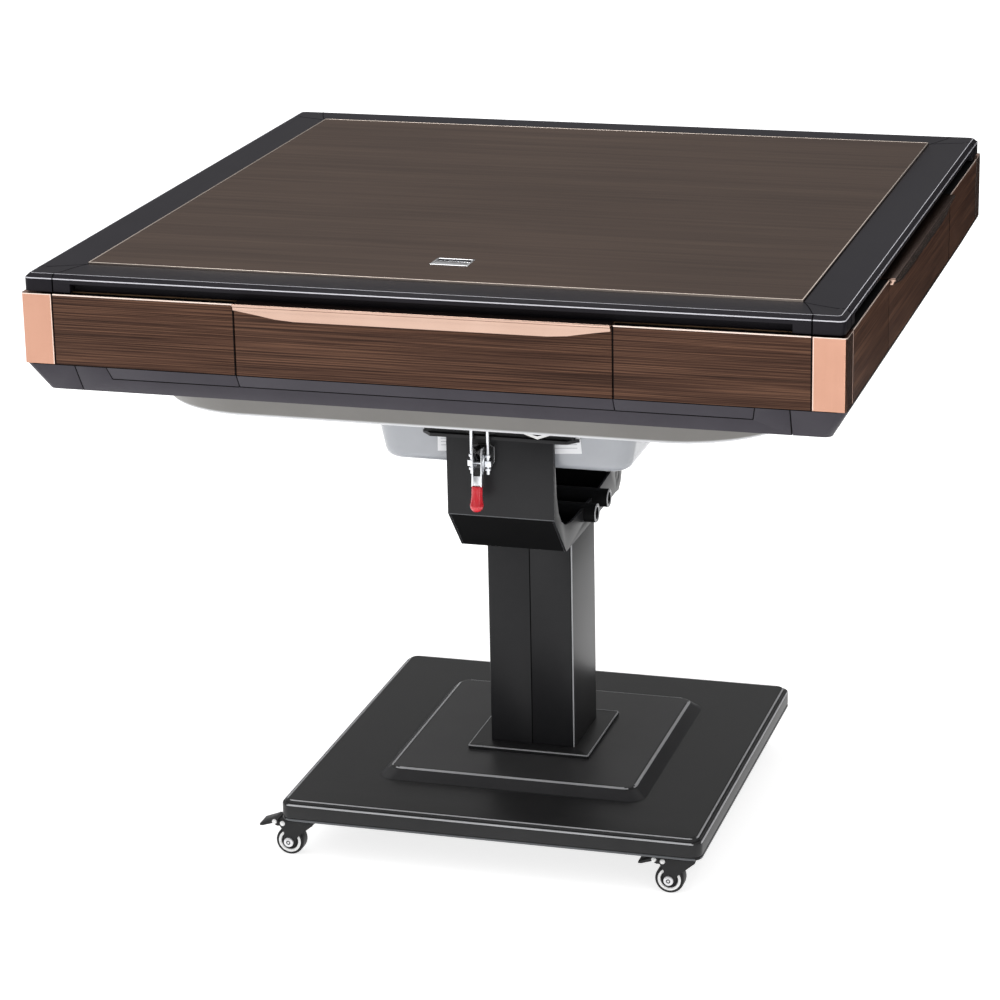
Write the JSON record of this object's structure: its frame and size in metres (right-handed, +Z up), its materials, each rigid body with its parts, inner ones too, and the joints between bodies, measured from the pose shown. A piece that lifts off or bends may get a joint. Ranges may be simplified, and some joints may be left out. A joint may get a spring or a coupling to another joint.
{
  "type": "automatic mahjong table",
  "caption": "Square games table with a fold-up head on a castored column: drawers, lift-off wood cover, rising console, tile lifts, shuffling disc and saddle clamp.",
  "frame": {"origin": "on the floor under the centre of the square head", "axes": "+X right as seen from the clamp side, +Y back, +Z up"},
  "size_m": [0.964, 0.964, 0.7926],
  "materials": {
    "black_steel": "satin powder coat",
    "zinc_steel": "bright zinc",
    "ballast_iron": "painted",
    "frame_board": "raw fibreboard",
    "side_wood": "dark brown fine grain laminate, satin",
    "rose_metal": "rose anodised, brushed",
    "skirt_plastic": "moulded, satin",
    "bezel_plastic": "satin",
    "mat_cloth": "flocked",
    "inner_plastic": "moulded",
    "black_steel_inner": "satin",
    "motor_metal": "cast",
    "pan_plastic": "satin moulded",
    "tub_plastic": "satin moulded",
    "inlet_plastic": "moulded",
    "top_wood": "dark brown laminate, satin",
    "edging_metal": "brushed",
    "chrome": "polished",
    "console_plastic": "gloss",
    "dome_clear": "clear",
    "dice_white": "gloss",
    "button_red": "gloss",
    "button_grey": "gloss",
    "disc_plastic": "moulded",
    "switch_red": "gloss",
    "red_grip": "dipped vinyl",
    "caster_black": "satin",
    "tyre": "matte"
  },
  "bodies": {
    "stand": {"saddle_bracket": "black_steel", "cross_tubes": "black_steel", "hinge_pin_and_bolts": "zinc_steel", "column_halves": "black_steel", "column_flange": "black_steel", "base_cover": "black_steel", "base_plate": "ballast_iron", "clamp_base": "zinc_steel", "caster_plates": "zinc_steel"},
    "head": {"chassis_frame": "frame_board", "side_panels": "side_wood", "corner_covers": "rose_metal", "skirt_sections": "skirt_plastic", "bezel_corners": "bezel_plastic", "bezel_rails": "bezel_plastic", "play_board": "frame_board", "play_mat": "mat_cloth", "feed_channels": "inner_plastic", "inner_rails": "black_steel_inner", "shuffle_bowl": "inner_plastic", "gear_motor": "motor_metal", "bottom_pan": "pan_plastic", "drum_tub": "tub_plastic", "control_box": "inner_plastic", "power_inlet": "inlet_plastic", "mount_frame": "black_steel"},
    "cover": {"cover_board": "top_wood", "cover_edging": "edging_metal", "pull_cup": "chrome"},
    "pull_flap": {"pull_flap": "chrome"},
    "console": {"console_disc": "console_plastic", "dice_dome": "dome_clear", "dice": "dice_white"},
    "dice_button": {"dice_button": "button_red"},
    "lift_button": {"lift_button": "button_grey"},
    "tile_lifts": {"tile_lifts": "inner_plastic"},
    "shuffle_disc": {"shuffle_disc": "disc_plastic"},
    "power_switch": {"power_switch": "switch_red"},
    "clamp_lever": {"clamp_lever": "zinc_steel", "clamp_grip": "red_grip"},
    "clamp_hook": {"clamp_hook": "zinc_steel"},
    "front_drawer": {"front_drawer_box": "side_wood", "front_drawer_pull": "rose_metal"},
    "right_drawer": {"right_drawer_box": "side_wood", "right_drawer_pull": "rose_metal"},
    "back_drawer": {"back_drawer_box": "side_wood", "back_drawer_pull": "rose_metal"},
    "left_drawer": {"left_drawer_box": "side_wood", "left_drawer_pull": "rose_metal"},
    "front_left_fork": {"front_left_fork": "caster_black"},
    "front_left_wheel": {"front_left_wheel": "tyre"},
    "front_left_brake": {"front_left_brake": "caster_black"},
    "front_right_fork": {"front_right_fork": "caster_black"},
    "front_right_wheel": {"front_right_wheel": "tyre"},
    "front_right_brake": {"front_right_brake": "caster_black"},
    "rear_left_fork": {"rear_left_fork": "caster_black"},
    "rear_left_wheel": {"rear_left_wheel": "tyre"},
    "rear_right_fork": {"rear_right_fork": "caster_black"},
    "rear_right_wheel": {"rear_right_wheel": "tyre"}
  },
  "joints": [
    {"name": "head_fold", "type": "hinge", "parent": "stand", "child": "head", "pos_m": [0, 0.125, 0.405], "axis": [-1, 0, 0], "range_deg": [0, 90]},
    {"name": "cover_lift", "type": "slide", "parent": "head", "child": "cover", "axis": [0, 0, 1], "range_m": [0, 0.25]},
    {"name": "pull_flap_hinge", "type": "hinge", "parent": "cover", "child": "pull_flap", "pos_m": [-0.0055, -0.3414, 0.7908], "axis": [1, 0, 0], "range_deg": [0, 80]},
    {"name": "console_lift", "type": "slide", "parent": "head", "child": "console", "axis": [0, 0, 1], "range_m": [0, 0.035]},
    {"name": "dice_button_press", "type": "slide", "parent": "console", "child": "dice_button", "axis": [0, 0, -1], "range_m": [0, 0.0025], "stiffness_N_per_m": 300, "springref_m": -0.001},
    {"name": "lift_button_press", "type": "slide", "parent": "console", "child": "lift_button", "axis": [0, 0, -1], "range_m": [0, 0.0025], "stiffness_N_per_m": 300, "springref_m": -0.001},
    {"name": "tile_lift_travel", "type": "slide", "parent": "head", "child": "tile_lifts", "axis": [0, 0, -1], "range_m": [0, 0.038]},
    {"name": "shuffle_spin", "type": "hinge", "parent": "head", "child": "shuffle_disc", "pos_m": [0, 0, 0.647], "axis": [0, 0, 1], "continuous": true},
    {"name": "power_rocker", "type": "hinge", "parent": "head", "child": "power_switch", "pos_m": [0.215, 0.25, 0.5945], "axis": [0, 1, 0], "range_deg": [0, 14]},
    {"name": "clamp_lever_swing", "type": "hinge", "parent": "stand", "child": "clamp_lever", "pos_m": [-0.021, -0.196, 0.525], "axis": [-1, 0, 0], "range_deg": [0, 120]},
    {"name": "clamp_hook_pivot", "type": "hinge", "parent": "clamp_lever", "child": "clamp_hook", "pos_m": [-0.021, -0.19, 0.5095], "axis": [-1, 0, 0], "range_deg": [-120, 0]},
    {"name": "front_drawer_slide", "type": "slide", "parent": "head", "child": "front_drawer", "axis": [0, -1, 0], "range_m": [0, 0.1]},
    {"name": "right_drawer_slide", "type": "slide", "parent": "head", "child": "right_drawer", "axis": [1, 0, 0], "range_m": [0, 0.1]},
    {"name": "back_drawer_slide", "type": "slide", "parent": "head", "child": "back_drawer", "axis": [0, 1, 0], "range_m": [0, 0.1]},
    {"name": "left_drawer_slide", "type": "slide", "parent": "head", "child": "left_drawer", "axis": [-1, 0, 0], "range_m": [0, 0.1]},
    {"name": "front_left_swivel", "type": "hinge", "parent": "stand", "child": "front_left_fork", "pos_m": [-0.243, -0.243, 0.0435], "axis": [0, 0, 1], "continuous": true},
    {"name": "front_left_roll", "type": "hinge", "parent": "front_left_fork", "child": "front_left_wheel", "pos_m": [-0.261, -0.243, 0.018], "axis": [0, 1, 0], "continuous": true},
    {"name": "front_left_brake_pedal", "type": "hinge", "parent": "front_left_fork", "child": "front_left_brake", "pos_m": [-0.2685, -0.243, 0.0423], "axis": [0, -1, 0], "range_deg": [0, 12]},
    {"name": "front_right_swivel", "type": "hinge", "parent": "stand", "child": "front_right_fork", "pos_m": [0.243, -0.243, 0.0435], "axis": [0, 0, 1], "continuous": true},
    {"name": "front_right_roll", "type": "hinge", "parent": "front_right_fork", "child": "front_right_wheel", "pos_m": [0.225, -0.243, 0.018], "axis": [0, 1, 0], "continuous": true},
    {"name": "front_right_brake_pedal", "type": "hinge", "parent": "front_right_fork", "child": "front_right_brake", "pos_m": [0.2175, -0.243, 0.0423], "axis": [0, -1, 0], "range_deg": [0, 12]},
    {"name": "rear_left_swivel", "type": "hinge", "parent": "stand", "child": "rear_left_fork", "pos_m": [-0.243, 0.243, 0.0435], "axis": [0, 0, 1], "continuous": true},
    {"name": "rear_left_roll", "type": "hinge", "parent": "rear_left_fork", "child": "rear_left_wheel", "pos_m": [-0.261, 0.243, 0.018], "axis": [0, 1, 0], "continuous": true},
    {"name": "rear_right_swivel", "type": "hinge", "parent": "stand", "child": "rear_right_fork", "pos_m": [0.243, 0.243, 0.0435], "axis": [0, 0, 1], "continuous": true},
    {"name": "rear_right_roll", "type": "hinge", "parent": "rear_right_fork", "child": "rear_right_wheel", "pos_m": [0.225, 0.243, 0.018], "axis": [0, 1, 0], "continuous": true}
  ],
  "couplings": [
    {"joint": "console_lift", "follows": "cover_lift", "ratio": 0.14},
    {"joint": "clamp_hook_pivot", "follows": "clamp_lever_swing", "ratio": -1}
  ]
}
